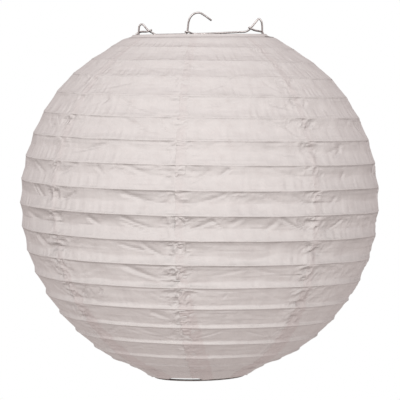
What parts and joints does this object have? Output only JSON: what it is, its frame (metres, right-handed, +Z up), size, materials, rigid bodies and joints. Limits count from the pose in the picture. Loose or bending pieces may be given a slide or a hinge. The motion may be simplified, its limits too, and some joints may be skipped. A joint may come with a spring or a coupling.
{
  "type": "paper lantern",
  "caption": "Round collapsible paper lantern with a spiral wire rib, open top and bottom rings and a bent-wire expander with a hanging hook.",
  "frame": {"origin": "inside top of the hanging hook, the point that the lantern hangs from", "axes": "+Z up along the lantern's axis; the expander lies in the XZ plane, its hook's open side towards +X; -Y is the front"},
  "size_m": [0.3046, 0.3046, 0.3121],
  "materials": {
    "paper": "matte crinkled rice paper",
    "rib_wire": "thin drawn steel wire",
    "ring_wire": "drawn steel wire, slightly dulled",
    "expander_wire": "bright galvanised steel wire"
  },
  "bodies": {
    "shell": {"paper_gore_1": "paper", "paper_gore_2": "paper", "paper_gore_3": "paper", "paper_gore_4": "paper", "paper_gore_5": "paper", "paper_gore_6": "paper", "paper_gore_7": "paper", "paper_gore_8": "paper", "rib_wire": "rib_wire", "top_ring": "ring_wire"},
    "shell_bottom": {"bottom_ring": "ring_wire"},
    "expander": {"hanger_left_wire": "expander_wire", "hanger_right_wire": "expander_wire", "leg_left_wire": "expander_wire", "leg_right_wire": "expander_wire"}
  },
  "joints": [
    {"name": "expander_lift", "type": "slide", "parent": "shell", "child": "expander", "axis": [0, 0, 1], "range_m": [0, 0.305]},
    {"name": "shell_collapse", "type": "slide", "parent": "shell", "child": "shell_bottom", "axis": [0, 0, 1], "range_m": [0, 0.262], "deforming": ["paper_gore_1", "paper_gore_2", "paper_gore_3", "paper_gore_4", "paper_gore_5", "paper_gore_6", "paper_gore_7", "paper_gore_8", "rib_wire"]}
  ],
  "couplings": [
    {"joint": "shell_collapse", "follows": "expander_lift", "ratio": 0.859}
  ]
}
